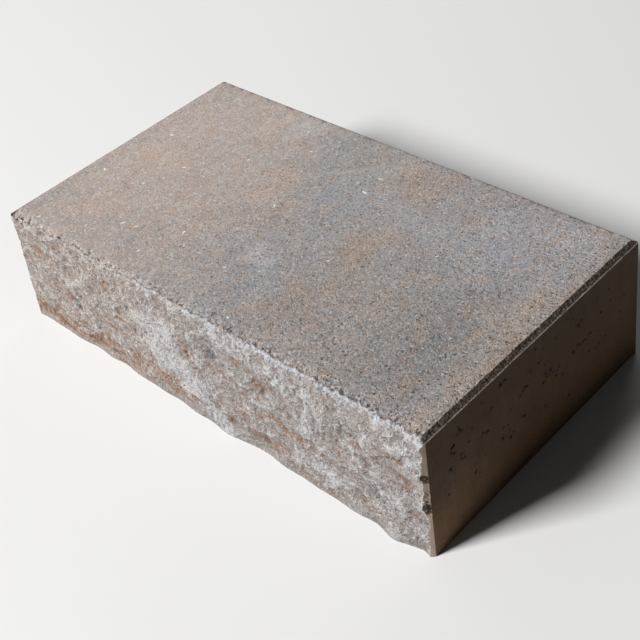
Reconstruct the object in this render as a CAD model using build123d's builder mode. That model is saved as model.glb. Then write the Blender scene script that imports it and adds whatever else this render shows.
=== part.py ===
from build123d import *
import math
import os

# Block step: one vibration-pressed concrete unit with a split front face.
# Millimetres, +Z up. X runs along the step, the split face looks along -Y,
# the origin is at the middle of the bed, in the centre of the overall box.

# ---- driving dimensions -------------------------------------------------
length = 600.0          # end to end
depth = 350.0           # back face to the most proud point of the split face
height = 150.0          # bed to tread

shoe_chamfer = 4.4      # 45 degree chamfer left round the tread by the press
shoe_ledge = 1.6        # narrow flat ledge outside that chamfer
back_corner = 2.0       # blunted upright corners at the back

split_set_back = 12.1   # tread's front arris behind the most proud point
groove_right = 166.6    # where the split groove starts on the right-hand end
groove_left = 161.2     # and on the left-hand end, both in front of the origin

skew_left = -0.5        # the split ran out of true along the block:
skew_right = 8.0        # lean forward of the arris at the two ends
crush_depth = 7.0       # height over which the front arris is crushed back

# Coarse relief of the split face. Each bump is (x, z, half width to the left,
# half width to the right, half height, rise towards the front), with x from
# the middle of the block and z from the bed.
bumps = [
    (-262, 52, 26, 24, 26, 1.5),
    (-232, 118, 30, 26, 20, -1.4),
    (-206, 60, 20, 22, 15, -1.5),
    (-176, 96, 26, 30, 26, 1.6),
    (-150, 30, 40, 34, 20, -1.7),
    (-112, 74, 28, 26, 22, -1.6),
    (-70, 116, 48, 20, 20, 2.0),
    (-38, 96, 74, 15, 22, 3.0),
    (-28, 62, 62, 13, 20, 2.9),
    (-14, 34, 40, 16, 16, 2.4),
    (20, 99, 18, 22, 20, -3.6),
    (26, 2, 15, 18, 16, 2.3),
    (62, 62, 24, 26, 20, 1.1),
    (92, 98, 24, 22, 17, -2.8),
    (76, 14, 20, 24, 14, -2.3),
    (112, 44, 22, 24, 16, -1.6),
    (166, 108, 38, 14, 20, 2.7),
    (171, 72, 34, 14, 20, 2.4),
    (172, 36, 44, 20, 18, 1.9),
    (204, 104, 15, 17, 20, -2.0),
    (226, 58, 18, 22, 24, -1.3),
    (236, 118, 16, 16, 12, 1.3),
    (256, 4, 15, 14, 17, 3.3),
    (262, 88, 17, 20, 14, -1.9),
    (282, 118, 14, 20, 14, 1.6),
    (290, 40, 12, 20, 30, -0.6),
    (-196, 0, 72, 62, 22, -1.9),
    (213, 2, 30, 16, 20, 1.9),
    (288, 2, 8, 10, 14, -2.4),
]

# Short waves of the break: (wave length, direction in degrees, phase, rise).
waves = [
    (118.0, 14.0, 0.7, 0.55),
    (83.0, 62.0, 2.1, 0.50),
    (61.0, -28.0, 4.0, 0.50),
    (47.0, 81.0, 1.2, 0.42),
    (39.0, 33.0, 5.2, 0.42),
    (31.0, -54.0, 3.1, 0.36),
]


def relief(x, z):
    """How far the break stands in front of the tread's front arris."""
    t = (x + length / 2) / length
    lean = skew_left + (skew_right - skew_left) * t
    rise = 0.0
    for bx, bz, left, right, half_height, amount in bumps:
        reach = left if x < bx else right
        rise += amount * math.exp(-(((x - bx) / reach) ** 2) - (((z - bz) / half_height) ** 2))
    for wave, turn, phase, amount in waves:
        a = math.radians(turn)
        rise += amount * math.sin(2 * math.pi * (x * math.cos(a) + z * math.sin(a)) / wave + phase)
    # towards the tread the break falls back to a ragged, crushed arris
    down = max(height - z, -6.0)
    crush = math.exp(-((max(down, 0.0) / crush_depth) ** 1.3))
    ragged = 0.45 * math.sin(x / 9.1 + 0.4) + 0.35 * math.sin(x / 5.3 + 2.0) + 0.45 * math.sin(x / 23.0)
    return (lean + rise) * (1 - crush) + ragged * crush - 0.35 * max(-down, 0.0)


# ---- grid that the break surface passes through -------------------------
columns = [-336 + 12 * i for i in range(57)]
rows = [-24, -12, 0, 10, 20, 31, 42, 53, 64, 75, 86, 97, 108, 118, 127, 134, 140, 145, 150, 157, 168]

arris_y = -depth / 2 + split_set_back

break_points = [[Vector(x, arris_y - relief(x, z), z) for x in columns] for z in rows]
break_face = Face.make_surface_from_array_of_points(break_points, tol=0.02)

# ---- the block ----------------------------------------------------------
half = length / 2
back = depth / 2
flank = 24.0            # the groove flanks are run this far forward before the break cuts them

with BuildPart() as step_block:
    # body below the press ledge: outline with the groove flanks run forward
    with BuildSketch(Plane.XY):
        with BuildLine():
            Polyline(
                (-half, back - back_corner),
                (-half, -groove_left),
                (-half + flank, -groove_left - flank),
                (half - flank, -groove_right - flank),
                (half, -groove_right),
                (half, back - back_corner),
                (half - back_corner, back),
                (-half + back_corner, back),
                close=True,
            )
        make_face()
    extrude(amount=height - shoe_chamfer)

    # the tread inside the ledge, rising with its 45 degree chamfer
    with BuildSketch(Plane.XY.offset(height - shoe_chamfer)):
        with BuildLine():
            Polyline(
                (-half + shoe_ledge, back - shoe_ledge - back_corner),
                (-half + shoe_ledge, -depth / 2 - flank),
                (half - shoe_ledge, -depth / 2 - flank),
                (half - shoe_ledge, back - shoe_ledge - back_corner),
                (half - shoe_ledge - back_corner, back - shoe_ledge),
                (-half + shoe_ledge + back_corner, back - shoe_ledge),
                close=True,
            )
        make_face()
    extrude(amount=shoe_chamfer, taper=45)

    # everything in front of the break comes off
    extrude(to_extrude=break_face, amount=90, dir=(0, -1, 0), mode=Mode.SUBTRACT)

step_block.part.label = "step_block"

box = step_block.part.bounding_box()
print("box", box.min, box.max)
print("volume %.0f mm3, solids %d, valid %s" % (step_block.part.volume, len(step_block.part.solids()), step_block.part.is_valid))

os.makedirs("parts", exist_ok=True)
export_step(step_block.part, "parts/step_block.step")
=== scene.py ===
import math

import bpy
import numpy as np
from mathutils import Matrix, Vector


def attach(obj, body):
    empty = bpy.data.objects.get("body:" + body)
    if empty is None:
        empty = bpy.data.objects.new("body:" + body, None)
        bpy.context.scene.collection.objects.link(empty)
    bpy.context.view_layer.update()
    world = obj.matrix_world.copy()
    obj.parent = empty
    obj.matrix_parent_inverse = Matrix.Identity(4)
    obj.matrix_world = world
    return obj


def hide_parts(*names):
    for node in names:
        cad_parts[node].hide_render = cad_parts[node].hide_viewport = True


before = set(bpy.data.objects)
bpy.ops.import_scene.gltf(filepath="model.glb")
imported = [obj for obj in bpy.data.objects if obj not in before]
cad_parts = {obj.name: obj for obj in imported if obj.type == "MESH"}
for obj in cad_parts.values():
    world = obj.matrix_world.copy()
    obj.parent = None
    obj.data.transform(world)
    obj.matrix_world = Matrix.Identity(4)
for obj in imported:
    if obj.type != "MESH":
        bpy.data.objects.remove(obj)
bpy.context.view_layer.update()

MM = 0.001
L, W, H = 600.0, 350.0, 150.0

# The block's own dimensions in millimetres, the same as in the solid.
CHAMFER = 4.4
LEDGE = 1.6
BACK_CORNER = 2.0
ARRIS_Y = -W / 2 + 12.1
GROOVE_RIGHT = 166.6
GROOVE_LEFT = 161.2
SKEW_LEFT, SKEW_RIGHT = -0.5, 8.0
CRUSH_DEPTH = 7.0

BUMPS = [
    (-262, 52, 26, 24, 26, 1.5), (-232, 118, 30, 26, 20, -1.4), (-206, 60, 20, 22, 15, -1.5),
    (-176, 96, 26, 30, 26, 1.6), (-150, 30, 40, 34, 20, -1.7), (-112, 74, 28, 26, 22, -1.6),
    (-70, 116, 48, 20, 20, 2.0), (-38, 96, 74, 15, 22, 3.0), (-28, 62, 62, 13, 20, 2.9),
    (-14, 34, 40, 16, 16, 2.4), (20, 99, 18, 22, 20, -3.6), (26, 2, 15, 18, 16, 2.3),
    (62, 62, 24, 26, 20, 1.1), (92, 98, 24, 22, 17, -2.8), (76, 14, 20, 24, 14, -2.3),
    (112, 44, 22, 24, 16, -1.6), (166, 108, 38, 14, 20, 2.7), (171, 72, 34, 14, 20, 2.4),
    (172, 36, 44, 20, 18, 1.9), (204, 104, 15, 17, 20, -2.0), (226, 58, 18, 22, 24, -1.3),
    (236, 118, 16, 16, 12, 1.3), (256, 4, 15, 14, 17, 3.3), (262, 88, 17, 20, 14, -1.9),
    (282, 118, 14, 20, 14, 1.6), (290, 40, 12, 20, 30, -0.6), (-196, 0, 72, 62, 22, -1.9),
    (213, 2, 30, 16, 20, 1.9), (288, 2, 8, 10, 14, -2.4),
]
WAVES = [
    (118.0, 14.0, 0.7, 0.55), (83.0, 62.0, 2.1, 0.50), (61.0, -28.0, 4.0, 0.50),
    (47.0, 81.0, 1.2, 0.42), (39.0, 33.0, 5.2, 0.42), (31.0, -54.0, 3.1, 0.36),
]


# ---- noise ----------------------------------------------------------------
def hash3(i, j, k, seed):
    """A repeatable pseudo-random number in 0..1 for each lattice point."""
    n = (i.astype(np.int64) * 374761393 + j.astype(np.int64) * 668265263
         + k.astype(np.int64) * 2147483647 + seed * 1274126177) & 0xFFFFFFFF
    n = ((n ^ (n >> 13)) * 1103515245) & 0xFFFFFFFF
    n = ((n ^ (n >> 16)) * 2654435761) & 0xFFFFFFFF
    return ((n ^ (n >> 15)) & 0xFFFFFF) / float(0xFFFFFF)


def noise(x, y, z, wave, seed):
    """Smooth gradient noise, about -1..1, with features of that size in millimetres."""
    x, y, z = x / wave, y / wave, z / wave
    i, j, k = np.floor(x), np.floor(y), np.floor(z)
    fx, fy, fz = x - i, y - j, z - k
    ux, uy, uz = (f * f * f * (f * (f * 6 - 15) + 10) for f in (fx, fy, fz))
    out = 0.0
    for a in (0, 1):
        for b in (0, 1):
            for c in (0, 1):
                ii, jj, kk = i + a, j + b, k + c
                gx = hash3(ii, jj, kk, seed) * 2 - 1
                gy = hash3(ii, jj, kk, seed + 11) * 2 - 1
                gz = hash3(ii, jj, kk, seed + 23) * 2 - 1
                dot = gx * (fx - a) + gy * (fy - b) + gz * (fz - c)
                wx = ux if a else 1 - ux
                wy = uy if b else 1 - uy
                wz = uz if c else 1 - uz
                out = out + dot * wx * wy * wz
    return out * 1.5


def cells(x, y, z, size, seed):
    """Distance to the nearest and second nearest scattered point, and that point's own number."""
    x, y, z = x / size, y / size, z / size
    i, j, k = np.floor(x), np.floor(y), np.floor(z)
    best = np.full(x.shape, 9.0)
    second = np.full(x.shape, 9.0)
    which = np.zeros(x.shape)
    for a in (-1, 0, 1):
        for b in (-1, 0, 1):
            for c in (-1, 0, 1):
                ii, jj, kk = i + a, j + b, k + c
                px = ii + hash3(ii, jj, kk, seed)
                py = jj + hash3(ii, jj, kk, seed + 5)
                pz = kk + hash3(ii, jj, kk, seed + 9)
                d = np.sqrt((px - x) ** 2 + (py - y) ** 2 + (pz - z) ** 2)
                closer = d < best
                second = np.where(closer, best, np.minimum(second, d))
                which = np.where(closer, hash3(ii, jj, kk, seed + 17), which)
                best = np.minimum(best, d)
    return best, second, which


def step(e0, e1, v):
    t = np.clip((v - e0) / (e1 - e0), 0, 1)
    return t * t * (3 - 2 * t)


def blur(a, reach, rounds=3):
    """Box blur over a grid, repeated so that it is close to a Gaussian."""
    for _ in range(rounds):
        for axis in (0, 1):
            p = np.concatenate([np.repeat(np.take(a, [0], axis), reach, axis), a,
                                np.repeat(np.take(a, [-1], axis), reach, axis)], axis)
            c = np.cumsum(p, axis)
            z = np.zeros_like(np.take(c, [0], axis))
            c = np.concatenate([z, c], axis)
            n = 2 * reach + 1
            hi = np.take(c, range(n, c.shape[axis]), axis)
            lo = np.take(c, range(0, c.shape[axis] - n), axis)
            a = (hi - lo) / n
    return a


# ---- shape of the break ---------------------------------------------------
def coarse_relief(x, z):
    t = (x + L / 2) / L
    rise = SKEW_LEFT + (SKEW_RIGHT - SKEW_LEFT) * t
    for bx, bz, left, right, half_height, amount in BUMPS:
        reach = np.where(x < bx, left, right)
        rise = rise + amount * np.exp(-(((x - bx) / reach) ** 2) - (((z - bz) / half_height) ** 2))
    for wave, turn, phase, amount in WAVES:
        a = math.radians(turn)
        rise = rise + amount * np.sin(2 * math.pi * (x * math.cos(a) + z * math.sin(a)) / wave + phase)
    return rise


# Torn edges of the break: a line of points (x, z), how far the side on its left stands proud of the
# side on its right, and how far that is felt to either side.
CLIFFS = [
    ([(-34, 146), (-33, 118), (-22, 94), (-6, 76), (10, 54), (22, 36)], 2.6, 9.0),
    ([(148, 134), (157, 112), (153, 92), (161, 68)], 1.7, 7.0),
    ([(194, 134), (203, 110), (206, 86), (202, 60), (192, 38)], 1.6, 7.0),
    ([(226, 80), (235, 62), (246, 42), (251, 18)], 1.2, 6.0),
    ([(246, 100), (259, 104), (270, 111), (280, 120)], 2.4, 5.0),
    ([(-118, 98), (-107, 105), (-100, 117)], 1.2, 4.0),
    ([(-299, 106), (-268, 112), (-236, 104), (-214, 108)], 0.8, 5.0),
    ([(-182, 88), (-152, 84), (-128, 91)], 0.8, 4.0),
    ([(-180, 56), (-150, 60), (-118, 54), (-96, 60)], 0.9, 4.0),
    ([(28, 50), (58, 60), (92, 52), (118, 60)], 1.1, 5.0),
    ([(70, 84), (92, 88), (112, 98), (118, 112)], 1.3, 5.0),
    ([(-60, 22), (-36, 30), (-16, 24)], 1.0, 4.0),
    ([(128, 44), (152, 52), (176, 46)], 0.9, 4.0),
]
# Small hollows and knobs: x, z, half width, half height, rise.
SPOTS = [
    (17, 101, 9, 8, -1.8), (-206, 54, 6, 5, -2.4), (-206, 62, 11, 7, -0.6), (92, 88, 5, 7, -1.6),
    (26, 14, 11, 7, 1.5), (-158, 14, 4, 3, -1.6), (-108, 104, 3, 4, -1.4), (268, 108, 9, 3.5, -1.4),
    (-289, 141, 3, 3, -3.4), (-279, 138, 3.2, 3, -3.0), (-267, 141, 8, 5, 2.2), (-246, 141, 4, 3, -1.6),
    (-230, 142, 9, 4, 1.8), (-208, 141, 4, 3, -1.4), (-192, 142, 7, 4, 1.4), (-168, 142, 6, 4, 1.0),
    (38, 128, 8, 5, 1.0), (56, 122, 7, 5, 0.9), (120, 118, 7, 6, 0.9), (262, 120, 12, 7, 1.4), (285, 112, 6, 8, 1.0),
]


def along(x, z, line):
    """Distance to a line of points, and which side of it a point is on (+1 left, -1 right)."""
    best = np.full(x.shape, 1e9)
    side = np.zeros(x.shape)
    for (ax, az), (bx, bz) in zip(line, line[1:]):
        ux, uz = bx - ax, bz - az
        t = np.clip(((x - ax) * ux + (z - az) * uz) / (ux * ux + uz * uz), 0, 1)
        dx, dz = x - (ax + t * ux), z - (az + t * uz)
        d = np.hypot(dx, dz)
        s = np.where(ux * dz - uz * dx > 0, 1.0, -1.0)
        side = np.where(d < best, s, side)
        best = np.minimum(best, d)
    return best, side


def fine_relief(x, z):
    """The torn relief of the break, in millimetres, that is too fine for the solid."""
    o = np.zeros_like(x)
    wx = x + 7 * noise(x, o, z, 30, 301) + 2.5 * noise(x, o, z, 9, 303)
    wz = z + 7 * noise(x, o, z, 30, 307) + 2.5 * noise(x, o, z, 9, 309)
    torn = 0.0
    for line, rise, reach in CLIFFS:
        d, side = along(wx, wz, line)
        torn = torn + 0.5 * rise * side * np.exp(-d / reach) * step(0.0, 1.1, d)
    for cx, cz, rx, rz, rise in SPOTS:
        torn = torn + rise * np.exp(-(((x - cx) / rx) ** 2) - (((z - cz) / rz) ** 2))
    torn = torn + 1.2 * (0.5 - np.abs(noise(wx, o, wz * 1.1, 33, 311)) * 2)
    torn = torn + 0.45 * (0.5 - np.abs(noise(wx, o + 7, wz, 16, 313)) * 2)
    torn = torn + 0.7 * (step(-0.07, 0.07, noise(wx, o + 3, wz, 27, 315)) - 0.5)
    torn = torn + 0.28 * (step(-0.08, 0.08, noise(wx, o + 5, wz, 13, 316)) - 0.5)
    torn = torn + 0.42 * noise(x, o, z, 11, 317) + 0.36 * noise(x, o, z, 6.5, 331) + 0.46 * noise(x, o, z, 4.0, 337)
    # fine raised threads, as the torn paste leaves them
    torn = torn + 0.41 * (0.6 - np.abs(noise(wx, o + 9, wz, 6.5, 339)) * 4) + 0.48 * noise(x, o, z, 2.8, 341)
    near, second, which = cells(wx, o, wz, 8.0, 347)
    stone = np.clip(0.60 - near, 0, 1) * step(0.5, 0.8, which) * 1.3          # stones left standing
    socket = -np.clip(0.50 - near, 0, 1) * step(0.8, 0.95, 1 - which) * 3.0   # stones pulled out
    return torn + stone + socket


def tread_z(x, y):
    """Height of the tread side, with the press chamfer and its ledge on the three moulded sides."""
    dx, dy = L / 2 - np.abs(x), W / 2 - y
    inside = np.minimum(np.minimum(dx, dy), (dx + dy - BACK_CORNER) / math.sqrt(2))
    return H - CHAMFER + np.clip(inside - LEDGE, 0, CHAMFER)


def ragged_arris(x):
    """How far the tread's front arris wanders forward, in millimetres."""
    o = np.zeros_like(x)
    return (0.45 * np.sin(x / 9.1 + 0.4) + 0.35 * np.sin(x / 5.3 + 2.0) + 0.45 * np.sin(x / 23.0)
            + 1.0 * noise(x, o, o, 12, 401) + 1.0 * noise(x, o, o, 5.5, 405) + 0.7 * noise(x, o, o, 3.2, 407))


def arris_drop(x):
    """How far the tread's front arris is crumbled down, in millimetres."""
    o = np.zeros_like(x)
    d = 2.0 + 1.9 * noise(x, o, o, 13, 431) + 1.9 * noise(x, o + 3, o, 6, 433) + 1.5 * noise(x, o + 5, o, 3.2, 435)
    d = d + 1.0 * (1 - step(-270, -190, x)) + 0.9 * step(245, 285, x)
    return np.clip(d, 0.3, 5.2) * step(0.6, 4.0, L / 2 - np.abs(x))


def front_y(x, z):
    """Y of the split face, cut off by the flanks of the split groove at both ends."""
    down = np.maximum(H - z, 0.0)
    crush = np.exp(-((down / CRUSH_DEPTH) ** 1.3))
    o = np.zeros_like(x)
    drop = arris_drop(x)
    lumps = 0.9 * noise(x, o, z, 7.5, 415) + 1.0 * noise(x, o, z, 4.2, 417) + 0.7 * noise(x, o, z, 2.8, 419)
    near_top = np.exp(-((np.maximum(down - drop, 0) / 1.0) ** 2))
    calm = (1 - 0.8 * np.exp(-((down / 5.0) ** 1.5))) * (1 - 0.80 * np.exp(-((np.maximum(z, 0) / 9.0) ** 1.5)))
    rise = (coarse_relief(x, z) * (1 - crush) + fine_relief(x, z) * calm
            + lumps * crush * (1 - near_top) + ragged_arris(x) * crush
            - 0.75 * drop * np.exp(-((down / 4.5) ** 1.5)))
    y = ARRIS_Y - rise
    # flanks of the split groove: smooth as moulded, with a torn patch of pits
    rough = 0.12 * noise(x, o, z, 9, 411)
    pits = np.exp(-(((z - 72) / 17) ** 4)) + 0.9 * np.exp(-(((z - 102) / 6) ** 4))
    rough = rough + pits * (1.7 * noise(x, o, z, 4.6, 421) + 1.3 * noise(x, o, z, 2.8, 423) + 0.45)
    rough = rough + 2.2 * np.exp(-(((z - 63) / 6) ** 2)) + 1.8 * np.exp(-(((z - 102) / 4.5) ** 2))
    inset = step(0, 1.2, L / 2 - np.abs(x))
    flank_r = -GROOVE_RIGHT - (L / 2 - x) + np.maximum(rough, -0.4) * inset
    flank_l = -GROOVE_LEFT - (L / 2 + x) + np.maximum(rough, -0.4) * inset * 0.6
    return np.maximum(y, np.maximum(flank_r, flank_l)), np.maximum(flank_r, flank_l) > y - 0.05


# ---- the mesh: one closed skin over a lattice of lines ----------------------
# Each side is cut into cells of four by four lattice squares. A cell near an edge, and the whole
# break, keeps its small squares, and the others are single faces that share their border points.
M = 4
half_x = [300, 299.2, 298.4, 298.2, 298.0, 297.0, 296.0, 295.0] + list(np.linspace(294, 0, 233))
xs = np.array([-v for v in half_x] + half_x[-2::-1])
front_off = list(np.linspace(0, 14.4, 13))[:-1]
back_off = [6.0, 5.0, 4.0, 3.0, 2.0, 1.8, 1.6, 0.8, 0.0]
N_MID = 240
zs = np.concatenate([np.linspace(0, 134, 101)[:-1], np.linspace(134, 146, 13)[:-1], np.linspace(146, 150, 4 + 1)]) / H
NX, NZ = len(xs) - 1, len(zs) - 1
NY = len(front_off) + N_MID + len(back_off) - 1
assert NX % M == 0 and NY % M == 0 and NZ % M == 0

X = xs
top_front = tread_z(X, np.full_like(X, ARRIS_Y))
back_edge = np.where(np.abs(X) > L / 2 - BACK_CORNER, W / 2 - (np.abs(X) - (L / 2 - BACK_CORNER)), W / 2)
FX, FT = np.meshgrid(X, zs, indexing="ij")
DROP = arris_drop(X)
FZ = FT * top_front[:, None] - DROP[:, None] * np.clip((FT * H - 134) / 16, 0, 1)
FY, FLANK = front_y(FX, FZ)

rows = np.zeros((NX + 1, NY + 1))
for i in range(NX + 1):
    f, b = FY[i, -1], back_edge[i]
    mid = np.linspace(f + 14.4, b - 6.0, N_MID + 1)
    rows[i] = np.concatenate([f + np.array(front_off), mid[:-1], b - np.array(back_off)])

# tread: an even surface, crumbled towards the front arris, with a torn press chamfer
TX = np.repeat(X[:, None], NY + 1, 1)
TY = rows
d_arris = TY - TY[:, :1]
TZ = tread_z(TX, TY) - DROP[:, None] * np.exp(-((d_arris / 4.2) ** 1.4))
TZ[:, 0] = FZ[:, -1]
zero = np.zeros_like(TX)
inner = np.minimum(L / 2 - np.abs(TX), W / 2 - TY)
swell = 0.16 * noise(TX, TY, zero, 45, 505) + 0.10 * noise(TX, TY, zero, 21, 507)
near_arris = np.exp(-(d_arris / 4.5) ** 1.5)
crumb = near_arris * (0.35 + 1.1 * noise(TX, TY, zero, 6, 515) + 1.2 * noise(TX, TY, zero, 3.0, 517))
deep = np.exp(-(d_arris / 8.0) ** 2) * np.clip(noise(TX, TY, zero, 5.5, 519) - 0.26, 0, 1) * 5.5
broken = np.clip(crumb + deep, -0.25, 3.0) * step(0.5, 3.0, inner)
drop = swell * step(1.0, 6.5, inner) - broken
on_chamfer = step(LEDGE - 0.3, LEDGE + 1.0, inner) * (1 - step(LEDGE + CHAMFER + 0.6, LEDGE + CHAMFER + 3.5, inner))
drop = drop + on_chamfer * (0.55 * noise(TX, TY, zero, 5.0, 521) + 0.85 * noise(TX, TY, zero, 2.7, 523) - 0.3)
TZ = TZ + drop
TZ[:, 0] = np.maximum(TZ[:, 0], FZ[:, -2] + 0.3)
FZ = FZ.copy()
FZ[:, -1] = TZ[:, 0]


# ---- air holes of the moulded faces ----------------------------------------
def air_holes(seed, groups, loose, u_range, v_range):
    """Small holes left by trapped air: position along and up the face, size, depth, stretch and turn."""
    rng = np.random.RandomState(seed)
    spots = []
    for cu, cv, count, su, sv, turn in groups:
        c, s = math.cos(math.radians(turn)), math.sin(math.radians(turn))
        for _ in range(count):
            a, b = rng.normal(0, su), rng.normal(0, sv)
            spots.append((cu + a * c - b * s, cv + a * s + b * c, 1.0))
    for _ in range(loose):
        spots.append((rng.uniform(*u_range), v_range[0] + (v_range[1] - v_range[0]) * rng.uniform(0, 1) ** 0.75, 0.75))
    holes = []
    for u, v, big in spots:
        r = (0.46 + 0.85 * rng.uniform(0, 1) ** 2.0) * big
        holes.append((u, v, r, 0.6 + 0.7 * r, 1.0 + 0.9 * rng.uniform(0, 1), rng.normal(-35, 25)))
    return holes


def hole_depth(u, v, holes, grow=0.0):
    """How deep the face is sunk there."""
    depth = np.zeros_like(u)
    for hu, hv, r, d, long, turn in holes:
        near = np.nonzero((np.abs(u - hu) < 6) & (np.abs(v - hv) < 6))
        if len(near[0]) == 0:
            continue
        c, s = math.cos(math.radians(turn)), math.sin(math.radians(turn))
        a = ((u[near] - hu) * c + (v[near] - hv) * s) / long
        b = -(u[near] - hu) * s + (v[near] - hv) * c
        depth[near] = np.maximum(depth[near], d * step(r + 0.55 + grow, r - 0.55, np.hypot(a, b)))
    return depth


def has_hole(holes, u0, u1, v0, v1):
    return any(u0 - 1.9 < h[0] < u1 + 1.9 and v0 - 1.9 < h[1] < v1 + 1.9 for h in holes)


# groups: middle along the face, middle above the bed, how many, spread along, spread across, turn
RIGHT_HOLES = air_holes(71, [
    (-119, 125, 9, 7, 2.2, -6), (-132, 110, 6, 2.5, 4, 0), (-120, 91, 7, 4, 3, 0), (-103, 113, 3, 2, 2, 0),
    (-84, 90, 8, 7, 3, -25), (-137, 88, 4, 3, 3, 0), (-59, 132, 5, 4, 1.5, 0), (-27, 98, 8, 7, 2.5, 15),
    (-6, 58, 10, 13, 2.0, -25), (18, 86, 18, 9, 4.5, -10), (76, 87, 15, 12, 2.4, -3), (68, 116, 3, 3, 2, 0),
    (147, 97, 4, 3, 2.5, 0), (-52, 68, 8, 4, 9, 0), (-12, 112, 4, 8, 3, 0), (110, 62, 4, 8, 4, 0), (-96, 60, 4, 6, 5, 0),
], 64, (-158, 165), (34, 141))
LEFT_HOLES = air_holes(72, [
    (-96, 112, 8, 8, 3, -15), (-30, 84, 12, 10, 4, -20), (42, 120, 6, 7, 2.5, 0), (96, 70, 10, 9, 4, 15),
    (-118, 60, 5, 4, 6, 0), (140, 108, 6, 4, 5, 0), (10, 48, 5, 9, 2.5, -10),
], 22, (-150, 165), (30, 141))
BACK_HOLES = air_holes(73, [
    (-210, 108, 12, 12, 4, 10), (-120, 66, 10, 12, 4, -15), (-36, 118, 9, 10, 3, 0), (60, 82, 16, 12, 5, -12),
    (148, 124, 8, 10, 3, 0), (216, 64, 12, 11, 5, 20), (262, 108, 6, 5, 6, 0), (-270, 60, 5, 4, 7, 0),
], 34, (-290, 290), (26, 141))

points, index_of = [], {}


def place(i, j, k):
    """Index of the lattice point's vertex, made when it is first asked for."""
    key = (i, j, k)
    if key in index_of:
        return index_of[key]
    if j == 0:
        p = (X[i], FY[i, k], FZ[i, k])
    elif k == NZ:
        p = (X[i], TY[i, j], TZ[i, j])
    elif j == NY:
        p = (X[i], back_edge[i], zs[k] * (H - CHAMFER))
    elif i in (0, NX):
        t = (rows[i, j] - rows[i, 0]) / (rows[i, NY] - rows[i, 0])
        p = (X[i], FY[i, k] + (back_edge[i] - FY[i, k]) * t, zs[k] * (H - CHAMFER))
    else:
        p = (X[i], rows[i, j], 0.0)
    index_of[key] = len(points)
    points.append(p)
    return index_of[key]


faces, kinds = [], []


def skin(na, nb, node, flip, kind, fine):
    """Covers one side of the block. node turns the side's two lattice numbers into a vertex."""
    ca, cb = na // M, nb // M
    small = np.zeros((ca + 2, cb + 2), bool)
    small[0, :] = small[-1, :] = small[:, 0] = small[:, -1] = True    # beyond the side's own edge: share every point
    for a in range(ca):
        for b in range(cb):
            small[a + 1, b + 1] = fine(a, b, ca, cb)
    for a in range(ca):
        for b in range(cb):
            a0, b0 = a * M, b * M
            if small[a + 1, b + 1]:
                for p in range(a0, a0 + M):
                    for q in range(b0, b0 + M):
                        f = (node(p, q), node(p + 1, q), node(p + 1, q + 1), node(p, q + 1))
                        faces.append(f[::-1] if flip else f)
                        kinds.append(kind)
                continue
            f = []
            f += [node(a0 + s, b0) for s in (range(M) if small[a + 1, b] else (0,))]
            f += [node(a0 + M, b0 + s) for s in (range(M) if small[a + 2, b + 1] else (0,))]
            f += [node(a0 + M - s, b0 + M) for s in (range(M) if small[a + 1, b + 2] else (0,))]
            f += [node(a0, b0 + M - s) for s in (range(M) if small[a, b + 1] else (0,))]
            faces.append(tuple(f[::-1]) if flip else tuple(f))
            kinds.append(kind)


def holed(holes, line):
    """A cell of a moulded face is fine where a hole reaches into it. line gives places along the face."""
    def fine(a, b, ca, cb):
        a0, a1, b0, b1 = a * M, (a + 1) * M, b * M, (b + 1) * M
        return has_hole(holes, line[a0], line[a1], zs[b0] * (H - CHAMFER), zs[b1] * (H - CHAMFER))
    return fine


skin(NX, NZ, lambda p, q: place(p, 0, q), False, 1, lambda a, b, ca, cb: True)
skin(NX, NY, lambda p, q: place(p, q, NZ), False, 0, lambda a, b, ca, cb: b < 3 or b >= cb - 2 or a < 2 or a >= ca - 2)
skin(NX, NZ, lambda p, q: place(p, NY, q), True, 2, holed(BACK_HOLES, X))
skin(NY, NZ, lambda p, q: place(NX, p, q), False, 2, holed(RIGHT_HOLES, rows[NX]))
skin(NY, NZ, lambda p, q: place(0, p, q), True, 2, holed(LEFT_HOLES, rows[0]))
ring = ([place(i, 0, 0) for i in range(NX)] + [place(NX, j, 0) for j in range(NY)]
        + [place(i, NY, 0) for i in range(NX, 0, -1)] + [place(0, j, 0) for j in range(NY, 0, -1)])
faces.append(tuple(ring[::-1]))
kinds.append(3)

# the moulded faces swell in by a few tenths of a millimetre between their edges
co = np.array(points)
keys = np.array(list(index_of.keys()))
px, py, pz = co[:, 0], co[:, 1], co[:, 2]
swell = np.abs(0.25 * noise(px, py, pz, 70, 531) + 0.10 * noise(px, py, pz, 23, 533))
fade = step(0.0, 8.0, np.minimum(pz, H - CHAMFER - pz))
inside_end = (keys[:, 1] > 0) & (keys[:, 1] < NY) & (keys[:, 2] > 0) & (keys[:, 2] < NZ)
fade_end = fade * step(0, 8, py + GROOVE_RIGHT) * step(0, 8, W / 2 - py)
co[:, 0] -= np.where(inside_end & (keys[:, 0] == NX), swell * fade_end, 0)
co[:, 0] += np.where(inside_end & (keys[:, 0] == 0), swell * fade_end, 0)
inside_back = (keys[:, 1] == NY) & (keys[:, 2] > 0) & (keys[:, 2] < NZ)
co[:, 1] -= np.where(inside_back, swell * fade * step(0, 10, L / 2 - BACK_CORNER - np.abs(px)), 0)
hole_mask = np.zeros(len(co))
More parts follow.
